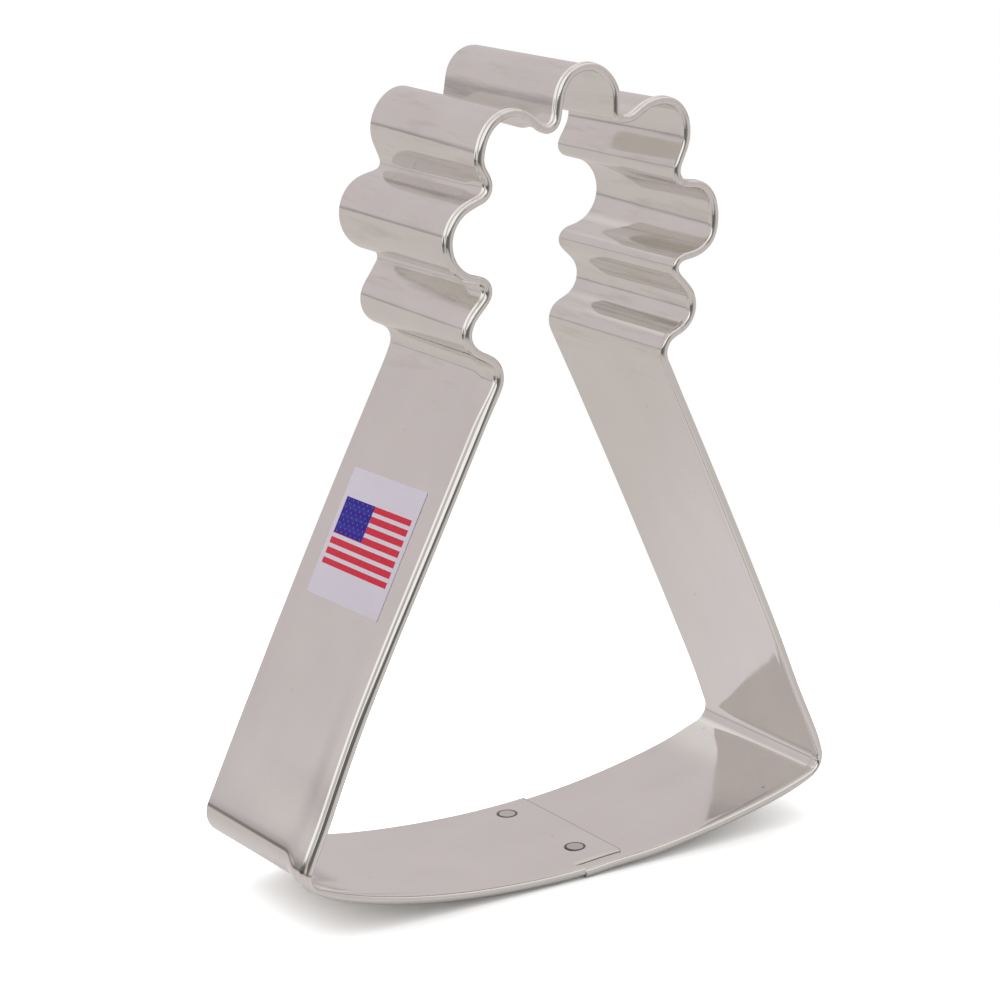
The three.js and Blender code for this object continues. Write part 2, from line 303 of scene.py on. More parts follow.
# bends in the strip's order: from the seam to the left, up, over the pompom and down to the seam
def hatBends(zone):
    lobes = []
    for angle, reach, radius in outline["lobes"]:
        turn = math.radians(180 - angle)
        lobes.append(bendAt((reach * math.cos(turn), outline["pompomHeight"] + reach * math.sin(turn)), radius, 1))
    low, side, high, top = lobes
    lean = math.radians(outline["neckLean"])
    neckReach = math.hypot(low["radius"] + outline["neckRadius"], outline["neckFlank"])
    neckCentre = low["centre"] + Vector((-math.sin(lean), -math.cos(lean))) * neckReach
    neck = bendAt(neckCentre, outline["neckRadius"], -1)
    grooves = [grooveBend(g, a, b) for g, a, b in zip(outline["grooves"], lobes, lobes[1:])]
    inner = bendAt((0, outline["brimRadius"]), outline["brimRadius"] - outline["layerOffset"], 1)
    outer = bendAt((0, outline["brimRadius"]), outerBrim, 1)
    corners = ((cornerBend(inner, zone["leftCorner"]), 1.0),
               (cornerBend(outer, zone["rightCorner"]), zone["rightShare"]))
    sides = []
    for bend, share in corners:
        dip = regrown(sideBend(bend, neck), neck, low, zone["neckGrow"] * share)
        pinched = [regrown(a, g, b, zone["grooveGrow"] * share) for g, a, b in zip(grooves, lobes, lobes[1:])]
        sides.append([bend, sideBend(bend, dip), dip, low, pinched[0], side, pinched[1], high, pinched[2]])
    left, right = sides
    return [inner] + left + [top] + [mirrored(b) for b in reversed(right)] + [outer]


def contactAngle(bend, normal):
    return math.atan2(-bend["turn"] * normal.y, -bend["turn"] * normal.x)


# each bend with its first angle and the angle it turns through; the tongue comes before the rest
def bendSpans(bends):
    down = -math.pi / 2
    normals = [runNormal(a, b) for a, b in zip(bends, bends[1:])]
    tongueEnd, hemEnd, tailEnd = (
        down + outline[key] / outline["brimRadius"] for key in ("tongueEnd", "hemEnd", "tailEnd"))
    spans = [(bends[0], tongueEnd, hemEnd - tongueEnd)]
    for i, bend in enumerate(bends):
        start = contactAngle(bend, normals[i - 1]) if i else hemEnd
        stop = contactAngle(bend, normals[i]) if i < len(normals) else tailEnd
        sweep = (bend["turn"] * (start - stop)) % (2 * math.pi)
        spans.append((bend, start, -bend["turn"] * sweep))
    return spans


def spanSteps(span):
    bend, _, sweep = span
    if bend["radius"] < outline["tightBend"]:
        return max(3, math.ceil(abs(sweep) / math.radians(outline["turnStep"])))
    return max(3, math.ceil(abs(sweep) * bend["radius"] / outline["longStep"]))


def spanEnd(span, share):
    bend, start, sweep = span
    angle = start + sweep * share
    ray = Vector((math.cos(angle), math.sin(angle)))
    return bend["centre"] + ray * bend["radius"], ray * bend["turn"]


# points along each bend and along the flank that follows it, each with the way out of the outline
def stationsOf(spans, bendSteps, flankSteps):
    stations = []
    for i, span in enumerate(spans):
        stations += [spanEnd(span, k / bendSteps[i]) for k in range(bendSteps[i] + 1)]
        if i < len(flankSteps) and flankSteps[i] > 1:
            (first, out), (last, _) = stations[-1], spanEnd(spans[i + 1], 0.0)
            stations += [(first.lerp(last, k / flankSteps[i]), out) for k in range(1, flankSteps[i])]
    return stations


def runningLengths(stations):
    lengths = [0.0]
    for (a, _), (b, _) in zip(stations, stations[1:]):
        lengths.append(lengths[-1] + (b - a).length)
    return lengths


# rolls each place into its neighbours, so that bends run into flanks without a hard start
def softened(stations, first, last):
    lengths = runningLengths(stations)
    reach = outline["soften"]
    points = [p.copy() for p, _ in stations]
    for i in range(first, last):
        total, weight = Vector((0, 0)), 0.0
        for step in (-1, 1):
            j = i if step < 0 else i + 1
            while 0 < j < len(stations) - 1 and abs(lengths[j] - lengths[i]) < 3 * reach:
                share = math.exp(-0.5 * ((lengths[j] - lengths[i]) / reach) ** 2) * (lengths[j + 1] - lengths[j - 1])
                total += stations[j][0] * share
                weight += share
                j += step
        points[i] = total / weight
    result = list(stations)
    for i in range(first, last):
        line = (points[i + 1] - points[i - 1]).normalized()
        result[i] = (points[i], Vector((-line.y, line.x)))
    return result


sheetSpans = bendSpans(hatBends(sheetZone))
rimSpans = bendSpans(hatBends(rimZone))
bendSteps = [spanSteps(span) for span in sheetSpans]
flankSteps = []
for first, second in zip(sheetSpans, sheetSpans[1:]):
    gap = (spanEnd(second, 0.0)[0] - spanEnd(first, 1.0)[0]).length
    flankSteps.append(max(1, math.ceil(gap / outline["flankStep"])))
sheetStations = stationsOf(sheetSpans, bendSteps, flankSteps)
rimStations = stationsOf(rimSpans, bendSteps, flankSteps)
tongueStations = bendSteps[0] + 1
# the tongue's last station is the run's first one
del sheetStations[tongueStations], rimStations[tongueStations]
# the ends of neighbouring bends lie on each other where there is no flank
keep = [0] + [i for i in range(1, len(sheetStations))
              if (sheetStations[i][0] - sheetStations[i - 1][0]).length > outline["sameSpot"]]
sheetStations, rimStations = [sheetStations[i] for i in keep], [rimStations[i] for i in keep]
softFirst = tongueStations + bendSteps[1] - outline["softMargin"]
softLast = len(sheetStations) - bendSteps[-1] + outline["softMargin"]
sheetStations = softened(sheetStations, softFirst, softLast)
rimStations = softened(rimStations, softFirst, softLast)
cornerPlaces = [spanEnd(rimSpans[i], 0.5)[0] for i in (2, len(rimSpans) - 2)]
print("outline:", len(sheetStations), "stations")


# smooth share of the way from one value to another
def eased(value, low, high):
    t = min(1.0, max(0.0, (value - low) / (high - low)))
    return t * t * (3 - 2 * t)


# the hem is pressed flat at the corners and drawn thinner round the pompom
def hemFullness(point):
    nearest = min((point - corner).length for corner in cornerPlaces)
    atCorner = math.exp(-(nearest / strip["squashReach"]) ** 2)
    atPompom = eased(point.y, strip["squashFrom"], strip["squashTo"])
    return 1 - strip["cornerSquash"] * atCorner - strip["pompomSquash"] * atPompom


# share of the hem's depth that is missing
def hemShallow(point):
    atPompom = eased(point.y, strip["shallowFrom"], strip["shallowTo"])
    return strip["sideShallow"] + (strip["pompomShallow"] - strip["sideShallow"]) * atPompom


def wandering(point, end):
    shift = Vector((0, 0))
    for place, reach, way in wander[end]:
        shift += Vector(way) * math.exp(-((point - Vector(place)).length / reach) ** 2)
    return shift


# the same wander at one depth, for what sits on the strip
def wanderAt(point, depth):
    share = min(1.0, max(0.0, (depth - frontY) / (backY - frontY)))
    return wandering(point, "rim").lerp(wandering(point, "edge"), share)


# one number or one direction for each point of a guide
def storeOn(mesh, name, values):
    if isinstance(values[0], tuple):
        layer = mesh.attributes.new(name, "FLOAT_VECTOR", "POINT")
        layer.data.foreach_set("vector", [number for value in values for number in value])
    else:
        mesh.attributes.new(name, "FLOAT", "POINT").data.foreach_set("value", values)


# guides for the sweep: a line of points with the way out of the outline and the length along the strip
def outlineGuide(name, stations):
    points = [p for p, _ in stations]
    mesh = bpy.data.meshes.new(name)
    mesh.from_pydata([(p.x * mm, 0, (p.y + standHeight) * mm) for p in points], [], [])
    storeOn(mesh, "outward", [(out.x, 0.0, out.y) for _, out in stations])
    storeOn(mesh, "along", [length * mm for length in runningLengths(stations)])
    storeOn(mesh, "hemFull", [hemFullness(p) for p in points])
    storeOn(mesh, "hemShallow", [hemShallow(p) for p in points])
    for end in ("rim", "edge"):
        shifts = [wandering(p, end) * mm for p in points]
        storeOn(mesh, end + "Shift", [(shift.x, 0.0, shift.y) for shift in shifts])
    return linkObject(name, mesh)


# places of the section: depth, height over the sheet's middle and share of the fold's pressing
def sectionGuide(name, places):
    hemBack = frontY + strip["stepBack"]
    slides = []
    for depth, _, _ in places:
        behind = max(0.0, (depth - hemBack) / (tongueY - hemBack))
        slides.append((min(depth, hemBack) - frontY) * max(0.0, 1 - behind) * mm)
    mesh = bpy.data.meshes.new(name)
    mesh.from_pydata([(depth * mm, height * mm, share) for depth, height, share in places], [], [])
    storeOn(mesh, "slide", slides)
    return linkObject(name, mesh)


# plain part of the section: in along the inner face, round the cutting edge and back along the outer face
def sheetSection():
    corner = strip["edgeBreak"]
    depths = [tongueY + step for step in strip["sheetSteps"]] + [backY - corner]
    inner = [(depth, -halfSheet, 0.0) for depth in depths] + [(backY, -halfSheet + corner, 0.0)]
    return inner + [(depth, -height, 0.0) for depth, height, _ in reversed(inner)]


# hem: the sheet steps in, folds out round a hollow and comes back as a flap that rests on its outer face
def hemSection():
    fold = strip["hemThickness"] / 2
    hollow = fold - strip["thickness"]
    centre = Vector((frontY + fold, hemTop - fold))
    stepFront, stepBack = frontY + strip["stepFront"], frontY + strip["stepBack"]
    lift = math.radians(strip["flapLift"])
    shear = strip["thickness"] * strip["stepShear"]

    def arc(radius, start, stop, count):
        for i in range(count + 1):
            angle = start + (stop - start) * i / count
            yield (centre.x + radius * math.cos(angle), centre.y + radius * math.sin(angle), 1.0)

    def step(high, low, lag):
        count = strip["stepCuts"]
        for i in range(count + 1):
            t = eased(i, 0, count)
            yield (stepBack + lag + (stepFront - stepBack) * i / count, high + (low - high) * t, t)

    cuts = strip["plainCuts"]
    plain = [tongueY + (stepBack + shear - tongueY) * i / cuts for i in range(cuts)]
    outer = [(depth, halfSheet, 0.0) for depth in plain]
    outer += step(halfSheet, centre.y - hollow, -shear / 2)
    inside = list(arc(hollow, -math.pi / 2, lift - 2 * math.pi, strip["insideCuts"]))
    flap = [(frontY + depth, height, share) for depth, height, share in strip["flapUnder"] + strip["flapOver"]]
    nose = list(arc(fold, lift, math.pi * 1.5, strip["noseCuts"]))
    inner = list(step(-halfSheet, centre.y - fold, shear / 2))[::-1]
    inner += [(depth, -halfSheet, 0.0) for depth in reversed(plain)]
    return outer + inside + flap + nose + inner


# cut edge of the tongue, its upper corner worn round
def tongueSection():
    nose, lip, cuts = strip["tongueNose"], strip["tongueLip"], strip["wornCuts"]
    rise = 2 * halfSheet - lip
    worn = [(tongueY - nose * math.cos(a), halfSheet - lip - rise * math.sin(a), 0.0)
            for a in (math.radians(90 * i / cuts) for i in range(cuts + 1))]
    return [(tongueY, halfSheet, 0.0), (tongueY - nose, halfSheet, 0.0)] + worn


# sizes that both trees of the sweep take
sweepNumbers = ("Blend Start", "Blend End", "Ripple", "Hem Base", "Rim Depth", "Edge Depth")


# one patch of the strip: a grid whose rows follow the outline and whose columns follow the section
def stripPatchTree():
    tree = bpy.data.node_groups.new("stripPatch", "GeometryNodeTree")
    given, made = groupSockets(tree, {
        "Object": ("Sheet Guide", "Rim Guide", "Section"), "Int": ("First Station", "Stations", "Section Points"),
        "Float": sweepNumbers,
    }, {"Geometry": ("Geometry",)})

    def whole(operation, a, b):
        node = addNode(tree, "FunctionNodeIntegerMath", operation=operation)
        wire(tree, (a, node.inputs[0]), (b, node.inputs[1]))
        return node.outputs[0]

    grid = addNode(tree, "GeometryNodeMeshGrid", {"Size X": 1.0, "Size Y": 1.0})
    wire(tree, (given["Stations"], grid.inputs["Vertices X"]), (given["Section Points"], grid.inputs["Vertices Y"]))
    index = addNode(tree, "GeometryNodeInputIndex").outputs[0]
    station = whole("ADD", whole("DIVIDE_FLOOR", index, given["Section Points"]), given["First Station"])
    column = whole("MODULO", index, given["Section Points"])

    def sampled(guide, name, kind="FLOAT_VECTOR"):
        info = addNode(tree, "GeometryNodeObjectInfo", transform_space="ORIGINAL")
        value = addNode(tree, "GeometryNodeInputNamedAttribute", {"Name": name}, data_type=kind)
        node = addNode(tree, "GeometryNodeSampleIndex", data_type=kind, domain="POINT")
        wire(tree, (given[guide], info.inputs["Object"]), (info.outputs["Geometry"], node.inputs["Geometry"]),
             (value.outputs[0], node.inputs["Value"]),
             (column if guide == "Section" else station, node.inputs["Index"]))
        return node.outputs[0]

    depth, height, follow = parted(tree, sampled("Section", "position"))
    atRim = fade(tree, depth, given["Blend Start"], given["Blend End"], 1.0, 0.0)

    # from the sheet's outline to the rim's
    def blended(name):
        return mixed(tree, atRim, sampled("Sheet Guide", name), sampled("Rim Guide", name), "VECTOR")

    point, outward = blended("position"), vectorNode(tree, "NORMALIZE", blended("outward"))
    onStrip = combined(tree, sampled("Sheet Guide", "along", "FLOAT"), depth, height)  # place on the unrolled strip
    flat = vectorNode(tree, "MULTIPLY", onStrip, strip["rippleStretch"])
    swell = rangeNode(tree, noiseNode(tree, flat, strip["rippleScale"], 1.0), 0.0, 1.0, -1.0, 1.0)
    wave = times(tree, times(tree, swell, given["Ripple"]), minus(tree, 1.0, atRim))
    # the curl is pressed towards its inner side where the hem isn't full
    missing = times(tree, minus(tree, 1.0, sampled("Rim Guide", "hemFull", "FLOAT")), follow)
    raised = times(tree, minus(tree, height, given["Hem Base"]), minus(tree, 1.0, missing))
    pressed = plus(tree, raised, given["Hem Base"])
    # the hand-bent wander of the outline, from the rim to the cutting edge
    share = rangeNode(tree, depth, given["Rim Depth"], given["Edge Depth"])
    shift = mixed(tree, share, sampled("Sheet Guide", "rimShift"), sampled("Sheet Guide", "edgeShift"), "VECTOR")
    # the rim keeps its depth where the hem is shallow, and what is behind it comes forward
    slid = times(tree, sampled("Section", "slide", "FLOAT"), sampled("Rim Guide", "hemShallow", "FLOAT"))
    place = vectorNode(tree, "ADD", point, shift)
    place = vectorNode(tree, "ADD", place, vectorNode(tree, "SCALE", outward, plus(tree, pressed, wave)))
    place = vectorNode(tree, "ADD", place, combined(tree, 0.0, minus(tree, depth, slid), 0.0))
    store = addNode(tree, "GeometryNodeStoreNamedAttribute", {"Name": "stripPlace"},
                    data_type="FLOAT_VECTOR", domain="POINT")
    setPlace = addNode(tree, "GeometryNodeSetPosition")
    wire(tree, (grid.outputs["Mesh"], store.inputs["Geometry"]), (onStrip, store.inputs["Value"]),
         (store.outputs[0], setPlace.inputs["Geometry"]), (place, setPlace.inputs["Position"]),
         (setPlace.outputs[0], made[0]))
    return tree


# the whole strip: plain sheet all the way, hem along the run, cut edge along the tongue
def rolledStripTree(patch):
    tree = bpy.data.node_groups.new("rolledStrip", "GeometryNodeTree")
    given, made = groupSockets(tree, {
        "Geometry": ("Geometry",),
        "Object": ("Sheet Guide", "Rim Guide", "Sheet Section", "Hem Section", "Tongue Section"),
        "Int": ("Sheet Stations", "Hem Start", "Hem Stations", "Tongue Stations", "Sheet Points", "Hem Points",
                "Tongue Points"),
        "Float": sweepNumbers + ("Merge Reach",), "Material": ("Material",),
    }, {"Geometry": ("Geometry",)})
    join = addNode(tree, "GeometryNodeJoinGeometry")
    for part in ("Sheet", "Hem", "Tongue"):
        node = addNode(tree, "GeometryNodeGroup", node_tree=patch)
        for name in ("Sheet Guide", "Rim Guide") + sweepNumbers:
            wire(tree, (given[name], node.inputs[name]))
        wire(tree, (given[part + " Section"], node.inputs["Section"]),
             (given[part + " Stations"], node.inputs["Stations"]),
             (given[part + " Points"], node.inputs["Section Points"]), (node.outputs[0], join.inputs[0]))
        if part == "Hem":
            wire(tree, (given["Hem Start"], node.inputs["First Station"]))
    merge = addNode(tree, "GeometryNodeMergeByDistance")
    smooth = addNode(tree, "GeometryNodeSetShadeSmooth")
    realize = addNode(tree, "GeometryNodeRealizeInstances")
    paint = addNode(tree, "GeometryNodeSetMaterial")
    wire(tree, (join.outputs[0], merge.inputs[0]), (given["Merge Reach"], merge.inputs["Distance"]),
         (merge.outputs[0], smooth.inputs[0]), (smooth.outputs[0], realize.inputs[0]),
         (realize.outputs[0], paint.inputs[0]), (given["Material"], paint.inputs["Material"]),
         (paint.outputs[0], made[0]))
    return tree


def sweptMesh(name, tree, values):
    holder = linkObject(name, bpy.data.meshes.new(name))
    modifier = holder.modifiers.new("sweep", "NODES")
    modifier.node_group = tree
    for item in tree.interface.items_tree:
        if item.in_out == "INPUT" and item.name in values:
            modifier[item.identifier] = values[item.name]
    bpy.context.view_layer.update()
    graph = bpy.context.evaluated_depsgraph_get()
    mesh = bpy.data.meshes.new_from_object(holder.evaluated_get(graph))
    bpy.data.objects.remove(holder)
    return mesh


# closes the flat ends, turns all faces out and keeps only the cut edges sharp
def closeMesh(mesh, sharpAngle):
    work = bmesh.new()
    work.from_mesh(mesh)
    openEdges = [edge for edge in work.edges if edge.is_boundary]
    if openEdges:
        bmesh.ops.holes_fill(work, edges=openEdges, sides=0)
    bmesh.ops.recalc_face_normals(work, faces=work.faces)
    if work.calc_volume(signed=True) < 0:
        bmesh.ops.reverse_faces(work, faces=work.faces)
    for face in work.faces:
        face.smooth = True
        face.material_index = 0
    loose = sum(not edge.is_manifold for edge in work.edges)
    work.to_mesh(mesh)
    work.free()
    mesh.set_sharp_from_angle(angle=math.radians(sharpAngle))
    mesh.update()
    return loose


weld = {
    # length right of the middle and depth
    "places": {"spot_weld_rear": (3.75, frontY + 22.05), "spot_weld_front": (4.5, frontY + 7.15)},
    "halfLap": 0.345, "sides": 48, "sharpAngle": 60.0,
    "profile": [(0.0, 0.012), (0.55, 0.012), (0.95, 0.013), (1.12, 0.017), (1.2, 0.024), (1.28, 0.024),
                (1.36, 0.008), (1.4, -0.02)],  # distance from the middle, height over the sheet
    # the rim colour is painted shade of the pressed ring's groove, laid from its inner edge outward
    "middle": (0.655, 0.635, 0.61, 1), "rim": (0.1, 0.09, 0.085, 1), "shadeRingFrom": 1.12, "shadeRingTo": 1.2, "cloudShare": 0.6,
    "roughLow": 0.16, "roughHigh": 0.3, "grain": 0.6, "clouds": 1.6, "bumpStrength": 0.5, "bumpHeight": 0.02,
}


# middle of a weld and the way out of the brim there
def weldFrame(place):
    angle = place[0] / outline["brimRadius"]
    out = Vector((math.sin(angle), 0, -math.cos(angle)))
    spot = Vector((outline["brimRadius"] * math.sin(angle), outline["brimRadius"] * (1 - math.cos(angle))))
    spot += wanderAt(spot, place[1])
    return Vector((spot.x, place[1], spot.y + standHeight)), out


marks = {
    "cloudScale": 70.0, "cloudStretch": (1.0, 1.6, 1.0), "grainStretch": (60.0, 5200.0, 60.0),
    "streakStretch": (900.0, 90.0, 60.0), "speckScale": 520.0, "speckFrom": 0.05, "speckTo": 0.2,
    "pickScale": 340.0, "pickOver": 0.66,  # only some of the dots are specks
    "grainTone": 0.35, "streakHaze": 0.8, "grainHeight": 0.06, "speckDepth": 0.4,
}


# rolling grain, soft clouds and small specks that the metal pieces share
def metalMarksGroup():
    tree = bpy.data.node_groups.new("metalMarks", "ShaderNodeTree")
    given, made = groupSockets(tree, {"Vector": ("Place",), "Float": ("Grain", "Clouds")},
                               {"Float": ("Tone", "Haze", "Specks", "Height")})
    place = given["Place"]
    clouds = noiseNode(tree, stretched(tree, place, marks["cloudStretch"]), marks["cloudScale"], 3.0, 0.55)
    grain = noiseNode(tree, stretched(tree, place, marks["grainStretch"]), 1.0, 3.0, 0.6)
    streaks = noiseNode(tree, stretched(tree, place, marks["streakStretch"]), 1.0)
    dots = addNode(tree, "ShaderNodeTexVoronoi", {"Scale": marks["speckScale"], "Randomness": 1.0}, feature="F1")
    wire(tree, (place, dots.inputs["Vector"]))
    dot = rangeNode(tree, dots.outputs["Distance"], marks["speckFrom"], marks["speckTo"], 1.0, 0.0)
    picked = mathNode(tree, "GREATER_THAN", noiseNode(tree, place, marks["pickScale"], 1.0), marks["pickOver"])
    specks = times(tree, dot, picked)
    swing = times(tree, minus(tree, clouds, 0.5), given["Clouds"])
    fine = times(tree, minus(tree, grain, 0.5), given["Grain"])
    soft = times(tree, minus(tree, streaks, 0.5), given["Grain"])
    height = plus(tree, times(tree, fine, marks["grainHeight"]), soft)
    wire(tree, (plus(tree, plus(tree, swing, times(tree, fine, marks["grainTone"])), 0.5, True), made["Tone"]),
         (plus(tree, plus(tree, swing, times(tree, soft, marks["streakHaze"])), 0.5, True), made["Haze"]),
         (specks, made["Specks"]),
         (minus(tree, height, times(tree, specks, marks["speckDepth"])), made["Height"]))
    return tree


metalMarks = metalMarksGroup()


def marksOn(tree, place, look):
    node = addNode(tree, "ShaderNodeGroup", {"Grain": look["grain"], "Clouds": look["clouds"]}, node_tree=metalMarks)
    wire(tree, (place, node.inputs["Place"]))
    return node.outputs


# distance in metres from a spot in mm, on Object coordinates
def distanceFrom(tree, coords, spot):
    return vectorNode(tree, "DISTANCE", coords, Vector(spot) * mm)


# lengths and heights are in mm
tinplate = {
    "dull": (0.765, 0.75, 0.72, 1), "bright": (0.835, 0.82, 0.785, 1), "stain": (0.66, 0.64, 0.575, 1),
    # the last two colours: the first for real specks and the pit and for painted shade at the tongue's cut end, the
    # second for painted shade round the welds and a painted dark reflection at the left corner
    "speckAndEdgeShade": (0.33, 0.31, 0.295, 1), "haloAndBendShade": (0.36, 0.315, 0.285, 1), "roughLow": 0.06, "roughHigh": 0.15,
    "grain": 1.0, "clouds": 1.3, "speckShare": 0.2, "bumpStrength": 1.0, "bumpHeight": 0.03,
    "bentFrom": 60.0, "bentTo": 68.0, "bentBump": 0.35, "flatBump": 0.1,
    "stainScale": 210.0, "stainStretch": (3.2, 0.4, 1.0), "stainFrom": 0.5, "stainTo": 0.72, "stainShare": 0.6,
    # painted shade: a darker halo round each weld, which is also rougher
    "heatFrom": 1.43, "heatTo": 1.6, "heatShare": 0.6, "haloRough": 0.15,
    # painted reflection: a dark line across the bend where the left side runs into its corner
    "bendReflectionHeight": 10.7, "bendReflectionFrom": 0.05, "bendReflectionTo": 0.34, "bendReflectionShare": 0.72,
    # painted shade: a dark line along the tongue's cut end
    "cutShadeFrom": 0.1, "cutShadeTo": 0.28, "cutShadeShare": 0.55,
    "pit": (32.46, -9.46, 5.29), "pitFrom": 0.15, "pitTo": 0.39, "pitShare": 0.8,
}


# a mark that fades out over its own range of distances
def markOf(tree, distance, name):
    return fade(tree, distance, tinplate[name + "From"] * mm, tinplate[name + "To"] * mm, tinplate[name + "Share"], 0.0)


# length along the strip where the left side runs into its corner, where a dark reflection line is painted
def bendReflectionLength():
    for i, (point, _) in enumerate(sheetStations):
        if point.x < 0 and point.y + standHeight > tinplate["bendReflectionHeight"]:
            return runningLengths(sheetStations)[i - 1]


def tinplateMaterial():
    material, tree, shader = newMaterial("tinplate")
    onStrip = addNode(tree, "ShaderNodeAttribute", attribute_name="stripPlace",
                      attribute_type="GEOMETRY").outputs["Vector"]
    coords = objectCoords(tree)
    along, height = parted(tree, onStrip)[0], parted(tree, coords)[2]
    grainy = marksOn(tree, onStrip, tinplate)
    colour = mixed(tree, grainy["Tone"], tinplate["dull"], tinplate["bright"])
    colour = mixed(tree, times(tree, grainy["Specks"], tinplate["speckShare"]), colour, tinplate["speckAndEdgeShade"])
    # the tightly bent pompom is drawn and scuffed more than the flat sides
    bent = fade(tree, height, tinplate["bentFrom"] * mm, tinplate["bentTo"] * mm)
    scuff = noiseNode(tree, stretched(tree, onStrip, tinplate["stainStretch"]), tinplate["stainScale"], 3.0, 0.6)
    scuff = fade(tree, scuff, tinplate["stainFrom"], tinplate["stainTo"], 0.0, tinplate["stainShare"])
    colour = mixed(tree, times(tree, scuff, bent), colour, tinplate["stain"])
    # painted shade: the tin turns darker in a halo round each weld, and rougher there
    heat = None
    for place in weld["places"].values():
        heat = larger(tree, heat, markOf(tree, distanceFrom(tree, coords, weldFrame(place)[0]), "heat"))
    colour = mixed(tree, heat, colour, tinplate["haloAndBendShade"])
    # a painted dark reflection line across the bend into the left corner, painted shade along the tongue's cut end, and
    # a pit by the right corner
    fromBendReflection = mathNode(tree, "ABSOLUTE", minus(tree, along, bendReflectionLength() * mm))
    colour = mixed(tree, markOf(tree, fromBendReflection, "bendReflection"), colour, tinplate["haloAndBendShade"])
    # painted shade along the tongue's cut end, in the dark speck colour
    colour = mixed(tree, markOf(tree, along, "cutShade"), colour, tinplate["speckAndEdgeShade"])
    fromPit = distanceFrom(tree, coords, tinplate["pit"])
    colour = mixed(tree, markOf(tree, fromPit, "pit"), colour, tinplate["speckAndEdgeShade"])
    rough = rangeNode(tree, grainy["Haze"], 0.15, 0.85, tinplate["roughLow"], tinplate["roughHigh"])
    rough = plus(tree, rough, times(tree, heat, tinplate["haloRough"]))
    drawn = plus(tree, times(tree, bent, tinplate["bentBump"]), tinplate["flatBump"])
    dress(tree, shader, colour, rough, times(tree, grainy["Height"], drawn), tinplate["bumpStrength"],
          tinplate["bumpHeight"])
    shader.inputs["Metallic"].default_value = 1.0
    return material


print("tinplate strip")
sections = {"Sheet": sheetSection(), "Hem": hemSection(), "Tongue": tongueSection()}
guides = {"Sheet Guide": outlineGuide("sheetGuide", sheetStations), "Rim Guide": outlineGuide("rimGuide", rimStations)}
for part, places in sections.items():
    guides[part + " Section"] = sectionGuide(part.lower() + "Section", places)
tinMaterial = tinplateMaterial()
bandMesh = sweptMesh("bandSweep", rolledStripTree(stripPatchTree()), {
    **guides, **{part + " Points": len(places) for part, places in sections.items()},
    "Sheet Stations": len(sheetStations), "Tongue Stations": tongueStations, "Hem Start": tongueStations - 1,
    "Hem Stations": len(sheetStations) - tongueStations + 1, "Blend Start": (frontY + strip["blendStart"]) * mm,
    "Blend End": (frontY + strip["blendEnd"]) * mm, "Ripple": strip["ripple"] * mm,
    "Hem Base": (-halfSheet - strip["hemSet"]) * mm, "Rim Depth": frontY * mm, "Edge Depth": backY * mm,
    "Merge Reach": strip["mergeReach"] * mm, "Material": tinMaterial,
})
for guide in guides.values():
    bpy.data.objects.remove(guide)
bandMesh.materials.clear()
bandMesh.materials.append(tinMaterial)
looseEdges = closeMesh(bandMesh, strip["sharpAngle"])
bandMesh.name = "hatBand"
band = linkObject("hatBand", bandMesh)
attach(band, "root")
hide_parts("steel_band")
print("strip:", len(bandMesh.polygons), "faces,", looseEdges, "loose edges")


def weldMaterial(name, centre):
    material, tree, shader = newMaterial(name)
    coords = objectCoords(tree)
    grainy = marksOn(tree, coords, weld)
    # painted shade: the button turns to the dark rim colour outside its pressed ring's inner edge
    ring = fade(tree, distanceFrom(tree, coords, centre), weld["shadeRingFrom"] * mm, weld["shadeRingTo"] * mm)
    cloud = times(tree, minus(tree, grainy["Tone"], 0.5), weld["cloudShare"])
    colour = mixed(tree, plus(tree, ring, cloud, True), weld["middle"], weld["rim"])
    rough = rangeNode(tree, grainy["Haze"], 0.1, 0.9, weld["roughLow"], weld["roughHigh"])
    dress(tree, shader, colour, rough, grainy["Height"], weld["bumpStrength"], weld["bumpHeight"])
    shader.inputs["Metallic"].default_value = 1.0
    return material


# a round button with a pressed ring on both faces of the lap
def weldPiece(node, place):
    centre, out = weldFrame(place)
    acrossDepth = Vector((0, 1, 0))
    acrossLap = acrossDepth.cross(out)
    turned = [(r, weld["halfLap"] + h) for r, h in weld["profile"]]
    turned += [(r, -h) for r, h in reversed(turned)]
    count = weld["sides"]
    verts, faces = [], []
    for r, h in turned[1:-1]:
        for i in range(count):
            angle = 2 * math.pi * i / count
            ray = acrossDepth * math.cos(angle) + acrossLap * math.sin(angle)
            verts.append((centre + ray * r + out * h) * mm)
    for ring in range(len(turned) - 3):
        for i in range(count):
            j = (i + 1) % count
            faces.append((ring * count + i, ring * count + j, (ring + 1) * count + j, (ring + 1) * count + i))
    for h, ring in ((turned[0][1], 0), (turned[-1][1], len(turned) - 3)):
        verts.append((centre + out * h) * mm)
        faces += [(ring * count + i, ring * count + (i + 1) % count, len(verts) - 1) for i in range(count)]
    mesh = bpy.data.meshes.new(node + "Nugget")
    mesh.from_pydata(verts, [], faces)
    mesh.materials.append(weldMaterial(node + "Metal", centre))
    closeMesh(mesh, weld["sharpAngle"])
    piece = linkObject(node + "Nugget", mesh)
    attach(piece, "root")
    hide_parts(node)


for node, place in weld["places"].items():
    weldPiece(node, place)
print("two welds")


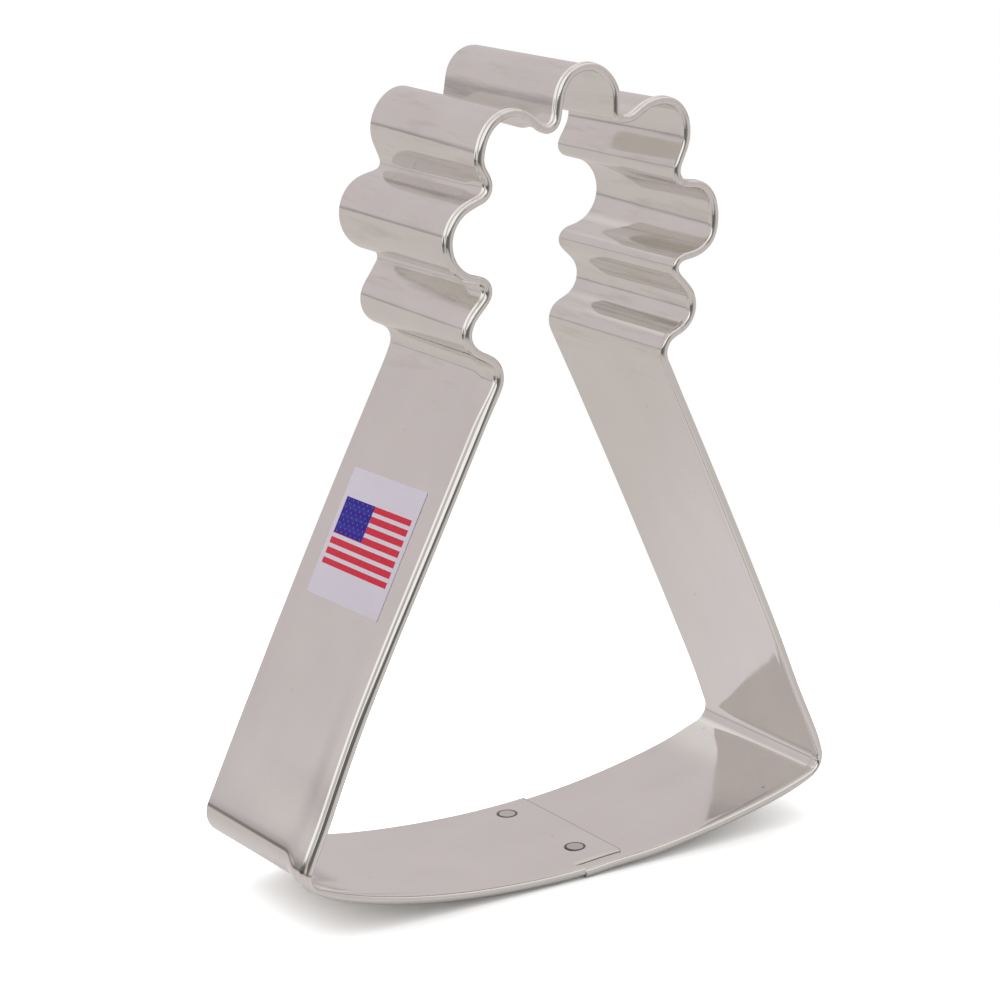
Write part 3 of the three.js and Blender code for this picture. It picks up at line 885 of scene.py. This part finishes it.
label = {
    "size": 16.7, "thickness": 0.07, "cornerRadius": 0.18, "cornerCuts": 6, "sharpAngle": 50.0,
    "upSide": 37.3, "fromEdge": 11.87, "tilt": 1.0, "gap": 0.03,
    "edge": [(0.0, 0.03), (0.012, 0.009), (0.035, 0.0)],  # rounded face edge: how far in, how far under the face
    "flagAcross": (-7.5, 7.5), "flagUp": (-4.3, 4.56), "stripes": 13, "redShare": 0.62,
    "fieldAcross": -0.9, "fieldStripes": 7, "dotAcross": 1.1, "dotUp": 0.53, "dotFrom": 0.07, "dotTo": 0.15,
    "paper": (0.555, 0.515, 0.58, 1), "shade": (0.51, 0.47, 0.535, 1), "shadeShare": 0.35,
    "red": (0.52, 0.004, 0.028, 1), "blue": (0.005, 0.004, 0.23, 1), "dot": (0.3, 0.3, 0.55, 1), "dotShare": 0.35,
    "fibreScale": 2600.0, "cloudScale": 180.0, "inkLow": 0.95, "roughLow": 0.42, "roughHigh": 0.55, "specular": 0.2,
    "bumpStrength": 0.25, "bumpHeight": 0.02,
}


def withinRange(tree, value, low, high):
    return times(tree, mathNode(tree, "GREATER_THAN", value, low), mathNode(tree, "LESS_THAN", value, high))


# striped print with a dark corner field, laid out in mm from the label's middle by the UV map
def labelMaterial():
    material, tree, shader = newMaterial("labelPaper")
    coords = objectCoords(tree)
    half = label["size"] / 2
    across, up, _ = (rangeNode(tree, part, 0.0, 1.0, -half, half)
                     for part in parted(tree, addNode(tree, "ShaderNodeUVMap", uv_map="labelFace").outputs[0]))
    left, (low, high) = label["flagAcross"][0], label["flagUp"]
    inFlag = times(tree, withinRange(tree, across, *label["flagAcross"]), withinRange(tree, up, low, high))
    stripe = (high - low) / label["stripes"]
    # red prints a little wider than its stripe
    spread = (label["redShare"] - 0.5) * 2
    count = plus(tree, mathNode(tree, "DIVIDE", minus(tree, up, low), stripe), spread / 2)
    red = times(tree, inFlag, mathNode(tree, "LESS_THAN", mathNode(tree, "MODULO", count, 2.0), 1.0 + spread))
    fieldLow = high - label["fieldStripes"] * stripe
    inField = times(tree, withinRange(tree, across, left, label["fieldAcross"]), withinRange(tree, up, fieldLow, high))
    # staggered rows of pale dots in the field
    rowCount = mathNode(tree, "DIVIDE", minus(tree, up, fieldLow), label["dotUp"])
    stagger = times(tree, mathNode(tree, "MODULO", mathNode(tree, "FLOOR", rowCount), 2.0), 0.5)
    columnCount = plus(tree, mathNode(tree, "DIVIDE", minus(tree, across, left), label["dotAcross"]), stagger)
    fromDot = None
    for places, pitch in ((columnCount, label["dotAcross"]), (rowCount, label["dotUp"])):
        away = times(tree, minus(tree, mathNode(tree, "FRACT", places), 0.5), pitch)
        square = times(tree, away, away)
        fromDot = square if fromDot is None else plus(tree, fromDot, square)
    dot = rangeNode(tree, mathNode(tree, "SQRT", fromDot), label["dotFrom"], label["dotTo"], label["dotShare"], 0.0)
    fibre = noiseNode(tree, coords, label["fibreScale"], 4.0, 0.6)
    cloud = noiseNode(tree, coords, label["cloudScale"])
    ink = rangeNode(tree, fibre, 0.3, 0.7, label["inkLow"], 1.0)
    shaded = rangeNode(tree, cloud, 0.3, 0.7, 0.0, label["shadeShare"])
    colour = mixed(tree, shaded, label["paper"], label["shade"])
    colour = mixed(tree, times(tree, red, ink), colour, label["red"])
    colour = mixed(tree, times(tree, inField, ink), colour, label["blue"])
    colour = mixed(tree, times(tree, inField, dot), colour, label["dot"])
    rough = rangeNode(tree, cloud, 0.25, 0.75, label["roughLow"], label["roughHigh"])
    dress(tree, shader, colour, rough, fibre, label["bumpStrength"], label["bumpHeight"])
    shader.inputs["Specular IOR Level"].default_value = label["specular"]
    return material


# the sticker follows the bowed side, with round corners and a rounded face edge
def labelPiece():
    corner, side = hatBends(plainZone)[1:3]
    middle = contactAngle(side, runNormal(corner, side)) - label["upSide"] / side["radius"]
    size, cornerRadius, cuts = label["size"], label["cornerRadius"], label["cornerCuts"]
    tilt = math.radians(label["tilt"])

    def placed(x, y, height):
        turnedX = x * math.cos(tilt) - y * math.sin(tilt)
        turnedY = x * math.sin(tilt) + y * math.cos(tilt)
        angle = middle - turnedY / side["radius"]
        ray = Vector((math.cos(angle), math.sin(angle)))
        depth = backY - label["fromEdge"] - turnedX
        spot = side["centre"] + ray * (side["radius"] + halfSheet + label["gap"] + height)
        spot += wanderAt(side["centre"] + ray * side["radius"], depth)
        return Vector((spot.x, depth, spot.y + standHeight)) * mm

    ring = []
    inset = size / 2 - cornerRadius
    for quarter, (x, y) in enumerate(((inset, inset), (-inset, inset), (-inset, -inset), (inset, -inset))):
        for i in range(cuts + 1):
            angle = math.pi / 2 * (quarter + i / cuts)
            ring.append((x, y, math.cos(angle), math.sin(angle)))
    layers = [(cornerRadius, 0.0)]
    layers += [(cornerRadius - inward, label["thickness"] - under) for inward, under in label["edge"]]
    work = bmesh.new()
    uvLayer = work.loops.layers.uv.new("labelFace")
    rows, flatPlace = [], {}
    for grow, height in layers:
        row = []
        for cx, cy, dx, dy in ring:
            x, y = cx + dx * grow, cy + dy * grow
            vert = work.verts.new(placed(x, y, height))
            flatPlace[vert] = (x / size + 0.5, y / size + 0.5)
            row.append(vert)
        rows.append(row)
    for lower, upper in zip(rows, rows[1:]):
        for i in range(len(ring)):
            j = (i + 1) % len(ring)
            work.faces.new((lower[i], lower[j], upper[j], upper[i]))
    work.faces.new(rows[-1])
    work.faces.new(rows[0][::-1])
    for face in work.faces:
        for loop in face.loops:
            loop[uvLayer].uv = flatPlace[loop.vert]
    mesh = bpy.data.meshes.new("paperLabel")
    work.to_mesh(mesh)
    work.free()
    mesh.materials.append(labelMaterial())
    closeMesh(mesh, label["sharpAngle"])
    piece = linkObject("paperLabel", mesh)
    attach(piece, "root")
    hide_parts("label")


labelPiece()
print("label")


# white studio: the camera sees plain white, the metal sees a soft room with a dark side round the camera
studio = {
    "room": (0.64, 0.585, 0.6, 1), "horizon": (0.37, 0.34, 0.35, 1), "horizonTop": 0.085,
    "dark": (0.22, 0.21, 0.215, 1), "cameraWay": (-0.2, -0.978, 0.05), "darkFrom": 0.82, "darkTo": 0.94,
    "above": (0.93, 0.9, 0.88, 1), "aboveFrom": 0.55, "aboveTo": 0.7, "fill": 0.86,
}


def studioWorld():
    world = bpy.data.worlds.new("studio")
    scene.world = world
    world.use_nodes = True
    tree = world.node_tree
    plain = tree.nodes["Background"]
    plain.inputs["Color"].default_value = white
    way = addNode(tree, "ShaderNodeTexCoord").outputs["Generated"]
    height = parted(tree, way)[2]
    toCamera = vectorNode(tree, "DOT_PRODUCT", way, studio["cameraWay"])
    lit = mixed(tree, fade(tree, height, 0.0, studio["horizonTop"], 1.0, 0.0), studio["room"], studio["horizon"])
    lit = mixed(tree, fade(tree, toCamera, studio["darkFrom"], studio["darkTo"]), lit, studio["dark"])
    lit = mixed(tree, fade(tree, height, studio["aboveFrom"], studio["aboveTo"]), lit, studio["above"])
    room = addNode(tree, "ShaderNodeBackground")
    fill = addNode(tree, "ShaderNodeBackground", {"Color": white, "Strength": studio["fill"]})
    path = addNode(tree, "ShaderNodeLightPath").outputs
    light = mixShaders(tree, path["Is Glossy Ray"], fill.outputs[0], room.outputs[0])
    wire(tree, (lit, room.inputs["Color"]), (mixShaders(tree, path["Is Camera Ray"], light, plain.outputs[0]),
                                             tree.nodes["World Output"].inputs["Surface"]))


# sizes in metres and degrees; places towards the camera are shares of the radius
panelLook = {
    "radius": 0.32, "start": 126.0, "turn": 140.0, "cuts": 28, "bottom": 0.001, "top": 0.55,
    "glow": 1.1, "dark": 0.14, "tint": (1, 0.99, 0.98, 1), "footFrom": 0.36, "footTo": 0.1,
    "footLow": 0.03, "footHigh": 0.12, "footFade": 0.03, "beginFrom": 0.8, "beginTo": 0.55,
}


# soft panel on the camera's left, seen only as a reflection: dark near the table, bright above it
def lightPanel():
    radius, cuts = panelLook["radius"], panelLook["cuts"]
    angles = [math.radians(panelLook["start"] + panelLook["turn"] * i / cuts) for i in range(cuts + 1)]
    verts = [(radius * math.cos(a), radius * math.sin(a), z)
             for z in (panelLook["bottom"], panelLook["top"]) for a in angles]
    mesh = bpy.data.meshes.new("softPanel")
    mesh.from_pydata(verts, [], [(i, i + 1, i + cuts + 2, i + cuts + 1) for i in range(cuts)])
    material, tree, surface = bareMaterial("panelCloth")
    _, back, height = parted(tree, objectCoords(tree))
    # its foot rises towards the camera, and it fades into the room where it ends beside the cutter
    foot = rangeNode(tree, back, panelLook["footFrom"] * radius, panelLook["footTo"] * radius, panelLook["footLow"],
                     panelLook["footHigh"])
    rise = mathNode(tree, "DIVIDE", minus(tree, height, foot), panelLook["footFade"], True)
    begin = fade(tree, back, panelLook["beginFrom"] * radius, panelLook["beginTo"] * radius)
    glow = addNode(tree, "ShaderNodeEmission", {"Color": panelLook["tint"]})
    clear = addNode(tree, "ShaderNodeBsdfTransparent")
    wire(tree, (fade(tree, rise, 0.0, 1.0, panelLook["dark"], panelLook["glow"]), glow.inputs["Strength"]),
         (mixShaders(tree, begin, clear.outputs[0], glow.outputs[0]), surface))
    mesh.materials.append(material)
    panel = linkObject("softPanel", mesh)
    for ray in ("camera", "diffuse", "transmission", "shadow", "volume_scatter"):
        setattr(panel, "visible_" + ray, False)


# distances in metres from the middle of the floor
floorLook = {
    "size": 10.0, "colour": (0.68, 0.66, 0.65, 1), "seen": (1.52, 1.52, 1.52, 1), "clearFrom": 0.06, "clearTo": 0.14,
    "table": (0.64, 0.59, 0.575, 1), "tableNear": (0.74, 0.69, 0.705, 1), "nearFrom": 0.03, "nearTo": 0.075,
    # darker towards the camera and beyond the panel's foot: way, start and end of the fading
    "darkWays": [((-0.2, -0.98, 0.0), 0.2, 0.34), ((-0.97, 0.24, 0.0), 0.15, 0.22)],
    "darkShare": 0.9, "wayFrom": 0.75, "wayTo": 0.93, "shadowFrom": 0.006, "shadowTo": 0.02,
}


# the floor keeps the shadow near the cutter and runs out to plain white; in the metal it is a grey table
def studioFloor():
    half = floorLook["size"] / 2
    mesh = bpy.data.meshes.new("floor")
    mesh.from_pydata([(-half, -half, 0), (half, -half, 0), (half, half, 0), (-half, half, 0)], [], [(0, 1, 2, 3)])
    material, tree, surface = bareMaterial("floorPaper")
    coords = objectCoords(tree)
    away, way = vectorNode(tree, "LENGTH", coords), vectorNode(tree, "NORMALIZE", coords)
    path = addNode(tree, "ShaderNodeLightPath").outputs
    toCamera, toMetal = path["Is Camera Ray"], path["Is Glossy Ray"]
    far = None
    for darkWay, start, stop in floorLook["darkWays"]:
        towards = vectorNode(tree, "DOT_PRODUCT", way, darkWay)
        far = larger(tree, far, times(tree, fade(tree, away, start, stop, 0.0, floorLook["darkShare"]),
                                      fade(tree, towards, floorLook["wayFrom"], floorLook["wayTo"])))
    near = fade(tree, away, floorLook["nearFrom"], floorLook["nearTo"], 1.0, 0.0)
    table = mixed(tree, far, mixed(tree, near, floorLook["table"], floorLook["tableNear"]), studio["dark"])
    lit = addNode(tree, "ShaderNodeBsdfDiffuse")
    shade = addNode(tree, "ShaderNodeEmission", {"Strength": 1.0})
    clear = fade(tree, away, floorLook["clearFrom"], floorLook["clearTo"])
    # metal close above the floor shows the shadow on it
    beyond = fade(tree, path["Ray Length"], floorLook["shadowFrom"], floorLook["shadowTo"])
    unlit = larger(tree, times(tree, clear, toCamera), times(tree, beyond, toMetal))
    wire(tree, (mixed(tree, toCamera, floorLook["colour"], floorLook["seen"]), lit.inputs["Color"]),
         (mixed(tree, toMetal, white, table), shade.inputs["Color"]),
         (mixShaders(tree, unlit, lit.outputs[0], shade.outputs[0]), surface))
    mesh.materials.append(material)
    floor = linkObject("floor", mesh)


keyLight = {"power": 3.8, "size": 1.3, "place": (-0.4, 0.3, 0.78), "target": (0, 0, 0.04)}


def keyLamp():
    lamp = bpy.data.lights.new("keyLamp", "AREA")
    lamp.size, lamp.energy = keyLight["size"], keyLight["power"]
    thing = linkObject("keyLamp", lamp)
    thing.location = keyLight["place"]
    thing.rotation_euler = (Vector(keyLight["target"]) - thing.location).to_track_quat("-Z", "Y").to_euler()
    thing.visible_glossy = False


studioWorld()
lightPanel()
studioFloor()
keyLamp()
print("studio")


view = {
    "place": (-197.964, -293.501, 144.431), "lens": 103.998, "sensor": 36.0, "yaw": -33.475, "pitch": 15.294,
    "roll": 0.33, "clipStart": 0.01, "clipEnd": 20.0,
}


def photoCamera():
    yaw, pitch, roll = (math.radians(view[key]) for key in ("yaw", "pitch", "roll"))
    back = Vector((math.sin(yaw) * math.cos(pitch), -math.cos(yaw) * math.cos(pitch), math.sin(pitch)))
    right = (-back).cross(Vector((0, 0, 1))).normalized()
    up = right.cross(-back)
    turnedRight = right * math.cos(roll) + up * math.sin(roll)
    turnedUp = up * math.cos(roll) - right * math.sin(roll)
    lens = bpy.data.cameras.new("camera")
    lens.lens, lens.sensor_width = view["lens"], view["sensor"]
    lens.clip_start, lens.clip_end = view["clipStart"], view["clipEnd"]
    camera = linkObject("camera", lens)
    turn = Matrix((turnedRight, turnedUp, back)).transposed().to_4x4()
    camera.matrix_world = Matrix.Translation(Vector(view["place"]) * mm) @ turn
    scene.camera = camera


photoCamera()
